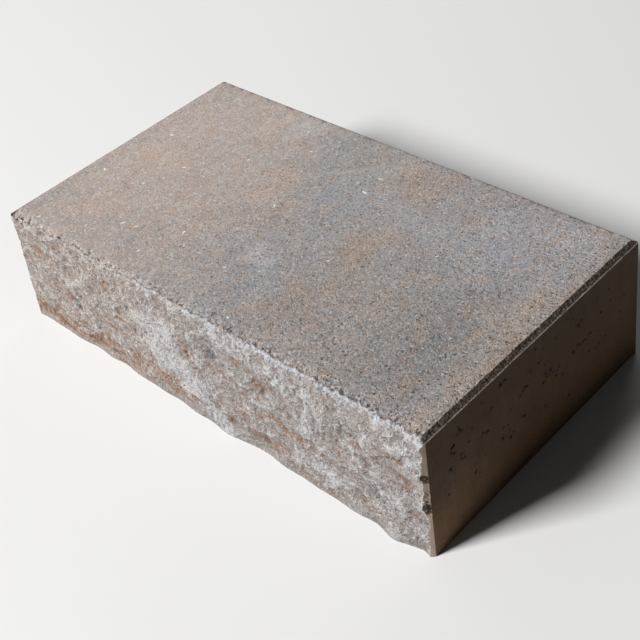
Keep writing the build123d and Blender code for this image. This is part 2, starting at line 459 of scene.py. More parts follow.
for side, along_face, holes, axis, inward in (
        (inside_end & (keys[:, 0] == NX), py.copy(), RIGHT_HOLES, 0, -1),
        (inside_end & (keys[:, 0] == 0), py.copy(), LEFT_HOLES, 0, 1),
        (inside_back & (keys[:, 0] > 8) & (keys[:, 0] < NX - 8), px.copy(), BACK_HOLES, 1, -1)):
    ids = np.nonzero(side)[0]
    sunk = hole_depth(along_face[ids], pz[ids], holes) * step(0, 2.0, np.minimum(pz[ids], H - CHAMFER - pz[ids]))
    co[ids, axis] += inward * sunk
    # where the holes are, which the moulded material paints near black as their shade
    hole_mask[ids] = np.clip(hole_depth(along_face[ids], pz[ids], holes, 0.1) / 1.1, 0, 1)

mesh = bpy.data.meshes.new("block_step_surface")
mesh.from_pydata([tuple(v * MM for v in p) for p in co.tolist()], [], faces)
mesh.update()
block = bpy.data.objects.new("block_step_surface", mesh)
bpy.context.collection.objects.link(block)

# ---- masks on the break, worked out from its relief -------------------------
rel = -FY
exposed_small = rel - blur(rel, 2)
exposed_mid = rel - blur(rel, 6)
o = np.zeros_like(FX)
down = H - FZ


def gather(patches, x, z, reach=9.0):
    """Sum of soft patches with cloudy edges: x, z, half width, half height, turn, amount."""
    wx = x + reach * noise(x, o, z, 21, 601) + reach * 0.5 * noise(x, o, z, 8, 603)
    wz = z + reach * noise(x, o, z, 21, 605) + reach * 0.5 * noise(x, o, z, 8, 607)
    total = np.zeros_like(x)
    for cx, cz, rx, rz, turn, amount in patches:
        c, s = math.cos(math.radians(turn)), math.sin(math.radians(turn))
        u, v = (wx - cx) * c + (wz - cz) * s, -(wx - cx) * s + (wz - cz) * c
        total = total + amount * np.exp(-((u / rx) ** 2) - ((v / rz) ** 2))
    return total


PALE = [
    (-52, 62, 34, 22, -22, 0.72), (-22, 42, 18, 22, 0, 0.65), (6, 30, 14, 14, 0, 0.6), (-66, 88, 34, 17, -8, 0.75),
    (-44, 106, 16, 14, 0, 0.6), (-84, 60, 20, 10, 0, 0.3),
    (24, 12, 12, 8, 0, 0.8), (172, 34, 24, 16, 0, 0.7), (154, 92, 6, 34, 0, 0.6), (200, 106, 6, 20, 0, 0.5),
    (240, 50, 8, 24, 22, 0.5), (60, 126, 34, 9, 0, 0.2), (30, 130, 30, 8, 0, 0.3), (-206, 96, 12, 26, 0, 0.4),
    (-190, 50, 14, 12, 0, 0.4), (272, 122, 20, 8, 0, 0.5), (-244, 116, 26, 8, 0, 0.25), (140, 126, 20, 9, 0, 0.35),
    (-140, 40, 26, 8, 0, 0.25), (-100, 96, 22, 10, 0, 0.3), (284, 60, 8, 26, 0, 0.3), (-280, 66, 22, 7, 0, 0.25),
]
BROWN = [
    (-262, 16, 56, 10, 0, 1.1), (-180, 20, 46, 11, 0, 0.6), (-96, 20, 56, 12, 0, 0.7), (-34, 26, 22, 12, 0, 0.7),
    (-24, 106, 4, 17, 22, 1.1), (-10, 84, 5, 12, 30, 1.0), (-156, 60, 24, 5, -14, 1.0), (-140, 118, 26, 5, -10, 0.9),
    (-264, 112, 34, 6, -6, 0.6), (-250, 96, 26, 4, -4, 0.6), (-176, 88, 16, 5, -10, 0.7), (-244, 70, 22, 4, -8, 0.5),
    (-196, 128, 18, 6, 0, 0.45), (92, 98, 12, 10, 0, 0.7), (46, 46, 22, 5, -22, 0.8), (70, 58, 18, 5, -18, 0.7),
    (108, 62, 18, 7, -20, 0.8), (152, 57, 26, 5, 0, 0.8), (100, 22, 46, 9, 0, 0.6), (30, 82, 20, 6, -14, 0.7),
    (264, 106, 14, 5, -28, 1.0), (282, 88, 12, 14, 0, 0.6), (226, 88, 16, 4, -20, 0.6), (-236, 36, 30, 7, 0, 0.5),
    (-60, 30, 26, 6, 0, 0.7), (156, 92, 4, 14, 0, 0.6), (166, 12, 40, 7, 0, 0.5), (204, 70, 18, 4, -10, 0.5),
    (8, 22, 16, 4, 0, 0.7), (240, 24, 26, 7, 0, 0.4), (-110, 70, 18, 4, -10, 0.5), (58, 112, 10, 8, 0, 0.3),
]
# dark grey patches, most of them on the hollows, holes and cracks of the break, where they are painted shade; the rest
# is dark grey stone
GREY_AND_HOLLOW_SHADE = [
    (17, 101, 11, 8, 0, 1.0), (-206, 54, 7, 6, 0, 1.0), (226, 56, 20, 26, 0, 0.5), (62, 74, 26, 10, 0, 0.35),
    (-158, 14, 5, 3, 0, 0.9), (92, 92, 2.5, 6, -12, 1.0), (-110, 104, 2.5, 5, -25, 1.0), (112, 78, 18, 9, 0, 0.35),
    (268, 112, 13, 2.5, -25, 0.9), (190, 116, 12, 10, 0, 0.3), (-289, 141, 3, 3, 0, 1.0), (-279, 138, 3, 3, 0, 0.8),
    (66, 92, 4, 3, 0, 0.6), (120, 134, 3, 3, 0, 0.6), (-266, 64, 3, 3, 0, 0.5), (-206, 62, 10, 9, 0, 0.45),
]
streak = noise(FX / 3.2, o, FZ, 7.5, 621) + 0.6 * noise(FX / 2.0, o, FZ, 4.0, 623)
web = 1 - 3.0 * np.abs(noise(FX + 4 * noise(FX, o, FZ, 12, 625), o, FZ + 4 * noise(FX, o, FZ, 12, 627), 9.0, 629))
web2 = 1 - 3.0 * np.abs(noise(FX + 2 * noise(FX, o, FZ, 6, 631), o + 5, FZ, 5.0, 633))
blotch = noise(FX, o, FZ, 16, 635) + 0.7 * noise(FX, o, FZ, 8, 637)
left_part = 1 - step(-120, -40, FX)
# pale also follows the raised parts of the relief and brown its hollows: painted highlight and shade, over the stone's
# own pale and brown patches
pale = (1.3 * gather(PALE, FX, FZ) + 0.11 * np.clip(web, -1, 1) + 0.11 * np.clip(web2, -1, 1) + 0.27 * exposed_mid
        + 0.35 * exposed_small + 0.20 * blotch)
brown = (1.12 * gather(BROWN, FX, FZ, 6.0) + (0.38 + 0.50 * left_part) * streak - 0.22 * exposed_mid - 0.25 * exposed_small
         + 0.44 * (noise(FX, o, FZ, 10, 641) + 1.1 * noise(FX, o, FZ, 5, 643)) - 0.5 * np.clip(gather(PALE, FX, FZ), 0, 1))
# dark grey stone and painted shade in hollows, with more painted shade in the deepest hollows of the relief
grey = gather(GREY_AND_HOLLOW_SHADE, FX, FZ, 3.0) + 0.35 * np.clip(-exposed_mid - 0.7, 0, 2)
# crushed line a little below the arris, pale and ragged, broken into clumps towards the left
below = down - DROP[:, None]
line = (4.0 + 1.6 * noise(FX, o, o, 24, 651) + 2.2 * noise(FX, o, FZ, 7, 653) + 1.8 * noise(FX, o, FZ, 3.5, 655)
        + 1.2 * np.exp(-(((FX - 60) / 60) ** 2)) + 2.0 * np.exp(-(((FX - 285) / 18) ** 2))
        + 1.2 * np.exp(-(((FX + 270) / 22) ** 2)) - 1.4 * (1 - step(-200, -100, FX)))
start = 0.9 + 1.5 * noise(FX, o, o, 9, 661) + 1.4 * noise(FX, o, FZ, 4, 663)
patchy = np.clip(0.82 - 0.15 * (1 - step(-200, -90, FX)) + 0.8 * noise(FX, o, FZ, 4, 657)
                 + (0.30 + 0.6 * (1 - step(-240, -140, FX))) * noise(FX, o, o, 15, 659), 0, 1)
dust = step(1.6, -1.2, below - line) * step(-0.8, 1.0, below - start) * patchy
# the crumbled strip between the arris and the pale line; the split material paints it dark as shade in its hollows
crumbs = step(3.6, 0.4, below) * np.clip(0.50 + 1.9 * noise(FX, o, FZ, 3.4, 665) + 0.8 * noise(FX, o, FZ, 7, 667), 0, 1) * (1 - 0.8 * dust)
near_edge = L / 2 - np.abs(FX)
wall = (FX > 0) * np.exp(-np.maximum(FY - (-GROOVE_RIGHT - near_edge), 0) / 2.0) * (near_edge < 20)
dust = np.maximum(dust, 0.9 * wall * (near_edge > 3) * step(60, 110, FZ) * np.clip(0.55 + 1.1 * noise(FX, o, FZ, 4, 669), 0, 1))
dust = dust * np.clip(0.95 + 0.9 * noise(FX, o + 9, FZ, 2.8, 671), 0.2, 1)
flank = FLANK & (near_edge < 16)

masks = {"pale": pale, "brown": brown, "grey": grey, "dust": dust, "flank": flank.astype(float),
         "high": exposed_small + 0.5 * exposed_mid, "brink": 0 * pale, "sunk": crumbs, "hole": 0 * pale}
front_ids = np.array([[index_of[(i, 0, k)] for k in range(NZ + 1)] for i in range(NX + 1)])
for name, grid in masks.items():
    values = np.zeros(len(co))
    values[front_ids.ravel()] = grid.ravel()
    # the sunk mask marks the tread's chips and the split face's crumbled strip, which both materials paint dark as
    # shade in their hollows
    if name in ("dust", "brink", "sunk"):        # the tread near its front arris: closeness, chips, carried dust
        for j in range(1 if name == "sunk" else 0, 13):
            for i in range(NX + 1):
                v = index_of.get((i, j, NZ))
                if v is None:
                    continue
                if name == "brink":
                    values[v] = math.exp(-(d_arris[i, j] / 6.0) ** 1.5)
                elif name == "sunk":
                    values[v] = float(np.clip(broken[i, j] / 1.3, 0, 1))
                elif j > 0:
                    reach = 0.9 + 1.3 * dust[i, -1] + 1.2 * max(0.0, math.sin(X[i] / 6.1) * math.sin(X[i] / 17.3 + 1))
                    values[v] = float(np.clip(1.05 - d_arris[i, j] / reach, 0, 1)) * dust[i, -1]
    if name == "hole":
        values = hole_mask
    att = mesh.attributes.new(name, "FLOAT", "POINT")
    att.data.foreach_set("value", values.astype(np.float32))


# ---- materials ------------------------------------------------------------
class Graph:
    """Small helper that writes a node tree."""

    def __init__(self, name):
        self.mat = bpy.data.materials.new(name)
        self.mat.use_nodes = True
        self.t = self.mat.node_tree
        self.t.nodes.clear()
        self.out = self.t.nodes.new("ShaderNodeOutputMaterial")
        self.bsdf = self.t.nodes.new("ShaderNodeBsdfPrincipled")
        self.t.links.new(self.bsdf.outputs[0], self.out.inputs[0])
        self.obj = self.t.nodes.new("ShaderNodeTexCoord").outputs["Object"]
        m = self.t.nodes.new("ShaderNodeVectorMath")
        m.operation = "SCALE"
        self.t.links.new(self.obj, m.inputs[0])
        m.inputs["Scale"].default_value = 1000.0
        self.mm = m.outputs[0]          # object coordinates in millimetres
        sep = self.t.nodes.new("ShaderNodeSeparateXYZ")
        self.t.links.new(self.mm, sep.inputs[0])
        self.x, self.y, self.z = sep.outputs

    def put(self, socket, value):
        if hasattr(value, "is_output"):
            self.t.links.new(value, socket)
        else:
            socket.default_value = value

    def math(self, op, a, b=0.0, c=0.0, clamp=False):
        n = self.t.nodes.new("ShaderNodeMath")
        n.operation = op
        n.use_clamp = clamp
        for s, v in zip(n.inputs, (a, b, c)):
            self.put(s, v)
        return n.outputs[0]

    def vec(self, op, a, b=(0, 0, 0), scale=1.0):
        n = self.t.nodes.new("ShaderNodeVectorMath")
        n.operation = op
        self.put(n.inputs[0], a)
        if op == "SCALE":
            self.put(n.inputs["Scale"], scale)
        elif len(n.inputs) > 1:
            self.put(n.inputs[1], b)
        return n.outputs["Value"] if op in ("LENGTH", "DISTANCE", "DOT_PRODUCT") else n.outputs[0]

    def ramp(self, value, e0, e1, a=0.0, b=1.0, smooth=True):
        n = self.t.nodes.new("ShaderNodeMapRange")
        n.interpolation_type = "SMOOTHSTEP" if smooth else "LINEAR"
        for s, v in zip(n.inputs[:5], (value, e0, e1, a, b)):
            self.put(s, v)
        return n.outputs[0]

    def place(self, offset, stretch, vector=None):
        m = self.t.nodes.new("ShaderNodeMapping")
        self.put(m.inputs[0], vector or self.mm)
        m.inputs[1].default_value = offset
        m.inputs[3].default_value = stretch
        return m.outputs[0]

    def noise(self, wave, detail=2.0, rough=0.5, vector=None, offset=(0, 0, 0), stretch=(1, 1, 1), color=False):
        n = self.t.nodes.new("ShaderNodeTexNoise")
        self.put(n.inputs["Vector"], self.place(offset, stretch, vector))
        n.inputs["Scale"].default_value = 1.0 / wave
        n.inputs["Detail"].default_value = detail
        n.inputs["Roughness"].default_value = rough
        return n.outputs["Color" if color else "Fac"]

    def voronoi(self, size, feature="F1", vector=None, offset=(0, 0, 0), stretch=(1, 1, 1)):
        """Distance to the nearest scattered point, and three numbers of that point's own."""
        n = self.t.nodes.new("ShaderNodeTexVoronoi")
        n.feature = feature
        self.put(n.inputs["Vector"], self.place(offset, stretch, vector))
        n.inputs["Scale"].default_value = 1.0 / size
        sep = self.t.nodes.new("ShaderNodeSeparateColor")
        self.put(sep.inputs[0], n.outputs["Color"])
        return n.outputs["Distance"], sep.outputs[0], sep.outputs[1], sep.outputs[2]

    def mix(self, fac, a, b, mode="MIX"):
        n = self.t.nodes.new("ShaderNodeMix")
        n.data_type = "RGBA"
        n.blend_type = mode
        self.put(n.inputs[0], fac)
        for s, v in ((n.inputs[6], a), (n.inputs[7], b)):
            self.put(s, v if hasattr(v, "is_output") else (*v, 1.0)[:4])
        return n.outputs[2]

    def attribute(self, name):
        n = self.t.nodes.new("ShaderNodeAttribute")
        n.attribute_name = name
        return n.outputs["Fac"]

    def bump(self, height, strength, distance, normal=None):
        n = self.t.nodes.new("ShaderNodeBump")
        n.inputs["Strength"].default_value = strength
        n.inputs["Distance"].default_value = distance
        self.put(n.inputs["Height"], height)
        if normal is not None:
            self.put(n.inputs["Normal"], normal)
        return n.outputs[0]

    def patch(self, base, where, cx, cy, rx, ry, turn, colour, strength, soft=0.65, fray=None):
        """Blends a soft-edged elliptical patch of colour into base. fray roughens its edge."""
        s = self.vec("SUBTRACT", where, (cx, cy, 0.0))
        m = self.t.nodes.new("ShaderNodeMapping")
        m.vector_type = "POINT"
        self.put(m.inputs[0], s)
        m.inputs[2].default_value = (0, 0, math.radians(-turn))
        d = self.vec("MULTIPLY", m.outputs[0], (1.0 / rx, 1.0 / ry, 0.0))
        away = self.vec("LENGTH", d)
        if fray is not None:
            away = self.math("ADD", away, fray)
        return self.mix(self.ramp(away, 1.0 + soft * 0.5, 1.0 - soft, 0.0, strength), base, colour)

    def finish(self, colour, normal, rough, specular):
        self.put(self.bsdf.inputs["Base Color"], colour)
        self.put(self.bsdf.inputs["Normal"], normal)
        self.bsdf.inputs["Roughness"].default_value = rough
        self.bsdf.inputs["Specular IOR Level"].default_value = specular
        return self.mat


def srgb(r, g, b):
    """Linear colour from 0..255 values."""
    def one(v):
        v = v / 255.0
        return v / 12.92 if v <= 0.04045 else ((v + 0.055) / 1.055) ** 2.4
    return (one(r), one(g), one(b))


def flat_point(g, a, b):
    """A flat vector (a, b, 0) from two scalar sockets."""
    n = g.t.nodes.new("ShaderNodeCombineXYZ")
    g.put(n.inputs[0], a)
    g.put(n.inputs[1], b)
    return n.outputs[0]


def warped(g, point, reach, wave, offset=(0, 0, 0)):
    """The point, pushed about by noise, so that patch edges are cloudy."""
    n = g.noise(wave, 3.0, 0.6, offset=offset, color=True)
    c = g.vec("SUBTRACT", n, (0.5, 0.5, 0.5))
    return g.vec("ADD", point, g.vec("SCALE", c, scale=reach))


# tread ---------------------------------------------------------------------
TREAD_PATCHES = [
    # x, y, half length, half width, turn, colour, strength
    (-235, 20, 130, 240, 0, (182, 164, 153), 0.95),
    (-120, -20, 95, 220, 8, (172, 157, 147), 0.75),
    (-165, 135, 34, 34, 0, (188, 160, 138), 0.5),
    (-226, 22, 34, 60, 0, (184, 160, 142), 0.55),
    (-224, -98, 34, 46, 0, (182, 157, 140), 0.5),
    (-140, -38, 24, 66, 0, (178, 154, 138), 0.45),
    (-80, 42, 26, 40, 10, (176, 146, 126), 0.75),
    (-92, -60, 24, 60, 0, (170, 150, 138), 0.4),
    (-124, 150, 24, 22, 0, (180, 180, 182), 0.5),
    (-44, 118, 40, 66, -6, (140, 138, 135), 0.8),
    (4, 62, 34, 52, 14, (138, 142, 148), 0.85),
    (-6, -50, 70, 110, 0, (140, 141, 143), 0.5),
    (-34, -2, 34, 24, -10, (158, 134, 118), 0.4),
    (62, 132, 36, 34, 8, (158, 138, 122), 0.75),
    (86, 6, 20, 54, 4, (160, 132, 111), 0.66),
    (122, 74, 100, 26, -4, (146, 147, 153), 0.75),
    (205, 86, 56, 66, 0, (147, 147, 155), 0.8),
    (166, 116, 26, 18, -10, (168, 170, 176), 0.45),
    (255, 136, 34, 30, 0, (166, 165, 170), 0.4),
    (-4, -62, 20, 22, 0, (176, 177, 182), 0.80),
    (12, -110, 26, 56, 4, (138, 142, 148), 0.75),
    (80, -98, 28, 46, 0, (154, 134, 120), 0.5),
    (90, -40, 34, 40, 0, (146, 136, 128), 0.45),
    (120, -80, 90, 70, 0, (142, 134, 128), 0.35),
    (228, -66, 46, 96, 0, (124, 124, 121), 0.8),
    (180, -20, 40, 60, 0, (136, 134, 131), 0.5),
    (285, -40, 16, 150, 0, (160, 142, 126), 0.8),
]
FLECKS = [
    (-171, -104, 3.6, 1.5, 70), (-153, -100, 2.6, 1.1, 60), (-101, -78, 3.2, 1.2, 100), (-52, 12, 3.4, 1.0, 120),
    (-271, -46, 3.4, 1.4, 150), (-258, 48, 3.4, 1.8, 10), (-193, 8, 2.6, 1.6, 20), (-247, 150, 2.2, 1.0, 30),
    (15, 84, 4.2, 1.8, 170), (12, 113, 3.2, 1.2, 10), (-262, -150, 2.6, 1.1, 40), (-90, 112, 2.4, 1.2, 60),
    (62, -28, 2.2, 1.2, 30), (276, -62, 2.2, 1.2, 30), (-118, -128, 2.4, 1.2, 80), (-20, -96, 2.0, 1.2, 10),
    (150, 40, 2.0, 1.2, 60), (-210, -40, 2.4, 1.2, 0), (-140, 60, 2.2, 1.2, 40), (40, -150, 2.0, 1.0, 0),
]
def muted(colour, keep=0.72, light=1.0):
    """The colour drawn towards its own grey."""
    grey = sum(colour) / 3
    return tuple(light * (grey + (c - grey) * keep) for c in colour)


g = Graph("tread_concrete")
here = flat_point(g, g.x, g.y)
cloud = warped(g, here, 90.0, 60.0)
fray = g.ramp(g.noise(17, 6, 0.75, offset=(3, 1, 8), stretch=(1.5, 0.75, 1)), 0.2, 0.8, -0.75, 0.75, smooth=False)
base = g.mix(g.ramp(g.noise(80, 2, 0.5), 0.3, 0.7), srgb(137, 134, 133), srgb(142, 137, 134))
for cx, cy, rx, ry, turn, colour, strength in TREAD_PATCHES:
    light = 0.95 if cy > 20 else 0.93
    base = g.patch(base, cloud, cx, cy, rx, ry, turn, srgb(*muted(colour, 0.76, light)), strength, soft=0.95, fray=fray)
mott = g.ramp(g.noise(24, 5, 0.7, stretch=(1.7, 0.7, 1)), 0.3, 0.7, 0.92, 1.08, smooth=False)
base = g.vec("SCALE", base, scale=mott)
warm = g.noise(22, 5, 0.75, offset=(31, 7, 0), stretch=(1.5, 0.65, 1))
base = g.mix(g.ramp(warm, 0.50, 0.64, 0.0, 0.32), base, srgb(163, 138, 120))
base = g.mix(g.ramp(warm, 0.49, 0.36, 0.0, 0.30), base, srgb(130, 134, 141))
warm2 = g.noise(6.5, 4, 0.75, offset=(11, 17, 0), stretch=(1.3, 0.8, 1))
base = g.mix(g.ramp(warm2, 0.52, 0.66, 0.0, 0.27), base, srgb(164, 135, 114))
base = g.mix(g.ramp(warm2, 0.47, 0.34, 0.0, 0.26), base, srgb(130, 134, 141))
base = g.vec("SCALE", base, scale=g.ramp(g.y, -110, 130, 1.0, 1.06, smooth=False))
# grain: fine sand with open pores between the grains
brink = g.attribute("brink")
edge_x = g.ramp(g.math("ABSOLUTE", g.x), 272.0, 290.0)
rough_zone = g.math("ADD", g.ramp(g.x, -200, 230, 0.30, 1.0), g.ramp(g.y, 60, -160, 0.0, 0.15))
rough_zone = g.math("ADD", rough_zone, g.ramp(g.noise(48, 3, 0.6, offset=(8, 2, 2)), 0.3, 0.7, -0.2, 0.2, smooth=False))
# pale clouds and flecks of fine limestone, mostly towards the left end
clouds = g.math("MULTIPLY", g.ramp(g.noise(6.5, 5, 0.75, offset=(21, 4, 2)), 0.51, 0.62, 0.0, 0.36), g.ramp(g.x, 120, -120, 0.20, 1.0))
base = g.mix(clouds, base, srgb(178, 175, 173))
base = g.vec("SCALE", base, scale=g.ramp(g.x, 60, -160, 0.985, 0.945))
rough_zone = g.math("ADD", rough_zone, g.math("MULTIPLY", brink, 0.8))
rough_zone = g.math("ADD", rough_zone, g.math("MULTIPLY", edge_x, 0.25))
d1, r1, g1, b1 = g.voronoi(1.9, vector=warped(g, g.mm, 1.2, 1.4))
d2, r2, g2, b2 = g.voronoi(1.15, offset=(7, 3, 1))
fine = g.noise(1.2, 3, 0.75)
coarse = g.noise(3.2, 4, 0.7, offset=(6, 1, 5))
# the coarse and fine noises also raise the bump below, so the grain is painted lighter where it stands high and darker
# where it lies low: painted light and shade over each grain's own tone
shade = g.math("ADD", g.ramp(r1, 0, 1, -0.12, 0.12, smooth=False), g.ramp(r2, 0, 1, -0.10, 0.10, smooth=False))
shade = g.math("ADD", shade, g.ramp(coarse, 0.3, 0.7, -0.14, 0.14, smooth=False))
shade = g.math("MULTIPLY", shade, g.math("ADD", rough_zone, 0.50))
shade = g.math("ADD", g.math("ADD", shade, 1.01), g.ramp(fine, 0.3, 0.7, -0.15, 0.15, smooth=False))
col = g.vec("SCALE", base, scale=shade)
col = g.mix(g.ramp(g1, 0.945, 0.955, 0.0, 0.45), col, srgb(188, 185, 182))
col = g.mix(g.ramp(g2, 0.945, 0.955, 0.0, 0.52), col, srgb(160, 117, 90))
to_left = g.ramp(g.x, -20, -210)
dark_grain = g.math("MULTIPLY", g.ramp(b1, 0.94, 0.95, 0.0, 0.60), g.math("SUBTRACT", 1.0, g.math("MULTIPLY", to_left, 0.6)))
col = g.mix(dark_grain, col, srgb(86, 81, 78))
# open pores, of ragged outline, in two sizes, painted dark as the shade inside them
dp, rp, gp, bp = g.voronoi(4.6, offset=(3, 9, 4), vector=warped(g, g.mm, 2.6, 1.8))
size = g.ramp(rp, 0.45, 1.0, 0.0, 0.27, smooth=False)
size = g.math("MULTIPLY", size, g.math("ADD", g.math("MULTIPLY", rough_zone, 0.90), g.ramp(g.noise(40, 2, 0.5, offset=(4, 4, 4)), 0.4, 0.7, 0.0, 0.25)))
pore = g.ramp(g.math("SUBTRACT", dp, size), 0.02, -0.07)
dq, rq, gq, bq = g.voronoi(2.7, offset=(13, 2, 6), vector=warped(g, g.mm, 1.5, 1.2))
size = g.math("MULTIPLY", g.ramp(rq, 0.55, 1.0, 0.0, 0.30, smooth=False), rough_zone)
pore2 = g.ramp(g.math("SUBTRACT", dq, size), 0.03, -0.10)
pores = g.math("MAXIMUM", pore, g.math("MULTIPLY", pore2, 0.8))
pores = g.math("MULTIPLY", pores, g.ramp(g.x, -190, 120, 0.20, 1.0))
col = g.mix(g.math("MULTIPLY", pores, 0.78), col, srgb(62, 55, 50))
ds, rs, gs, bs = g.voronoi(6.5, offset=(23, 5, 9), vector=warped(g, g.mm, 1.6, 1.6))
fleck = g.ramp(g.math("SUBTRACT", ds, g.ramp(rs, 0.55, 1.0, 0.0, 0.21, smooth=False)), 0.01, -0.04)
col = g.mix(g.math("MULTIPLY", fleck, g.math("ADD", g.math("MULTIPLY", to_left, 0.22), 0.36)), col, srgb(202, 200, 197))
# soft pale and rusty crumbs, two to four millimetres across, that take the pores' place at the left
dc, rc, gc, bc = g.voronoi(3.6, offset=(31, 8, 2), vector=warped(g, g.mm, 2.4, 1.8))
crumb_pale = g.ramp(g.math("SUBTRACT", dc, g.ramp(rc, 0.60, 1.0, 0.0, 0.34, smooth=False)), 0.04, -0.14)
col = g.mix(g.math("MULTIPLY", crumb_pale, g.math("ADD", g.math("MULTIPLY", to_left, 0.52), 0.06)), col, srgb(190, 190, 191))
crumb_rust = g.ramp(g.math("SUBTRACT", dc, g.ramp(gc, 0.72, 1.0, 0.0, 0.34, smooth=False)), 0.04, -0.14)
col = g.mix(g.math("MULTIPLY", crumb_rust, g.math("ADD", g.math("MULTIPLY", to_left, 0.34), 0.12)), col, srgb(160, 120, 96))
chipped = warped(g, here, 0.9, 1.6)
for cx, cy, rx, ry, turn in FLECKS:
    col = g.patch(col, chipped, cx, cy, 0.95 * rx, 0.85 * ry, turn, srgb(212, 210, 206), 0.85, soft=0.35)
# chips along the front arris, painted dark as the shade in their hollows
sunk = g.ramp(g.math("ADD", g.attribute("sunk"), g.ramp(g.noise(1.8, 3, 0.7, offset=(3, 3, 9)), 0.3, 0.7, -0.25, 0.25, smooth=False)), 0.35, 0.95)
col = g.mix(g.math("MULTIPLY", sunk, 0.55), col, srgb(70, 62, 56))
# press chamfer: painted dark along both ends, as shade of the right end's chamfer turned from the key, over its torn
# open grain, with a thin broken pale ledge outside it
chamfer_shade = g.ramp(g.math("ADD", g.math("ABSOLUTE", g.x), g.ramp(g.noise(3.0, 3, 0.7), 0.3, 0.7, -0.7, 0.7, smooth=False)), 293.4, 294.6)
chamfer_shade_col = g.mix(g.ramp(g.noise(2.6, 4, 0.75, offset=(5, 2, 7)), 0.44, 0.64), srgb(32, 26, 22), srgb(118, 103, 91))
col = g.mix(g.math("MULTIPLY", chamfer_shade, 0.9), col, chamfer_shade_col)
lip = g.ramp(g.math("ADD", g.math("ABSOLUTE", g.x), g.ramp(g.noise(4.0, 4, 0.8, offset=(2, 6, 7)), 0.3, 0.7, -1.5, 0.7, smooth=False)), 298.3, 299.1)
lip = g.math("MULTIPLY", lip, g.ramp(g.noise(9.0, 4, 0.75, offset=(12, 6, 1)), 0.40, 0.56, 0.25, 0.80))
col = g.mix(lip, col, srgb(128, 124, 121))
# pale dust of the crushed arris
dust_s = g.attribute("dust")
dusty = g.ramp(g.math("ADD", dust_s, g.ramp(g.noise(2.0, 3, 0.75, offset=(8, 8, 8)), 0.3, 0.7, -0.5, 0.5, smooth=False)), 0.3, 0.8)
col = g.mix(g.math("MULTIPLY", dusty, 0.75), col, srgb(158, 161, 166))
h = g.math("MULTIPLY", g.ramp(d1, 0.75, 0.05), 0.36)
h = g.math("ADD", h, g.math("MULTIPLY", g.ramp(d2, 0.75, 0.05), 0.20))
h = g.math("ADD", h, g.math("MULTIPLY", fine, 0.6))
h = g.math("ADD", h, g.math("MULTIPLY", coarse, 1.4))
h = g.math("MULTIPLY", h, g.math("ADD", g.math("MULTIPLY", rough_zone, 0.75), 0.30))
h = g.math("SUBTRACT", h, g.math("MULTIPLY", pores, 1.5))
mat_tread = g.finish(col, g.bump(h, 1.0, 0.0007), 0.92, 0.2)

# split face ----------------------------------------------------------------
g = Graph("split_concrete")
pale_s, brown_s, grey_and_hollow_shade_s = g.attribute("pale"), g.attribute("brown"), g.attribute("grey")
dust_s, flank_s, high_s = g.attribute("dust"), g.attribute("flank"), g.attribute("high")
speck = g.noise(2.0, 4, 0.75)
speck2 = g.noise(1.2, 3, 0.75, offset=(5, 5, 5))
side = g.ramp(g.math("ADD", g.x, g.ramp(g.noise(60, 3, 0.6), 0.3, 0.7, -80, 80, smooth=False)), -180, 20)
base = g.mix(side, srgb(145, 136, 130), srgb(139, 133, 129))
jit = g.ramp(speck, 0.3, 0.7, -0.50, 0.50, smooth=False)
jit2 = g.ramp(g.noise(3.0, 5, 0.75, offset=(15, 5, 25)), 0.3, 0.7, -0.60, 0.60, smooth=False)
base = g.mix(g.ramp(g.math("ADD", brown_s, jit2), 0.15, 1.05, 0.0, 0.95), base, srgb(137, 109, 91))
base = g.mix(g.ramp(g.math("ADD", brown_s, jit), 0.80, 1.55, 0.0, 0.82), base, srgb(127, 94, 73))
# pale threads of torn paste
strand = warped(g, g.mm, 6.0, 7.0)
web_a = g.ramp(g.math("ABSOLUTE", g.math("SUBTRACT", g.noise(5.0, 2, 0.6, vector=strand, offset=(1, 8, 3)), 0.5)), 0.075, 0.0)
web_b = g.ramp(g.math("ABSOLUTE", g.math("SUBTRACT", g.noise(2.8, 2, 0.6, vector=strand, offset=(9, 2, 4)), 0.5)), 0.085, 0.0)
webs = g.math("ADD", g.math("MULTIPLY", web_a, 0.32), g.math("MULTIPLY", web_b, 0.30))
pale_all = g.math("ADD", g.math("ADD", pale_s, jit), webs)
base = g.mix(g.ramp(pale_all, 0.24, 1.26, 0.0, 0.92), base, g.mix(side, srgb(173, 168, 163), srgb(170, 169, 169)))
# dark grey stone, and painted shade in hollows and cracks
base = g.mix(g.ramp(g.math("ADD", grey_and_hollow_shade_s, jit2), 0.35, 1.0, 0.0, 0.8), base, srgb(92, 95, 100))
# grain
d1, r1, g1, b1 = g.voronoi(1.9, vector=warped(g, g.mm, 1.2, 1.4))
d2, r2, g2, b2 = g.voronoi(1.2, offset=(7, 3, 1))
shade = g.math("ADD", g.ramp(r1, 0, 1, -0.18, 0.18, smooth=False), g.ramp(r2, 0, 1, -0.13, 0.13, smooth=False))
shade = g.math("ADD", shade, g.ramp(speck2, 0.3, 0.7, -0.24, 0.24, smooth=False))
# painted shade: darker in the hollows of the relief, a little paler on its crests
shade = g.math("ADD", shade, g.ramp(high_s, -1.4, 1.2, -0.16, 0.08, smooth=False))
col = g.vec("SCALE", base, scale=g.math("ADD", shade, 1.055))
col = g.mix(g.ramp(g1, 0.94, 0.95, 0.0, 0.5), col, srgb(172, 172, 172))
col = g.mix(g.ramp(g2, 0.95, 0.96, 0.0, 0.45), col, srgb(134, 100, 80))
col = g.mix(g.ramp(b1, 0.96, 0.97, 0.0, 0.6), col, srgb(84, 78, 74))
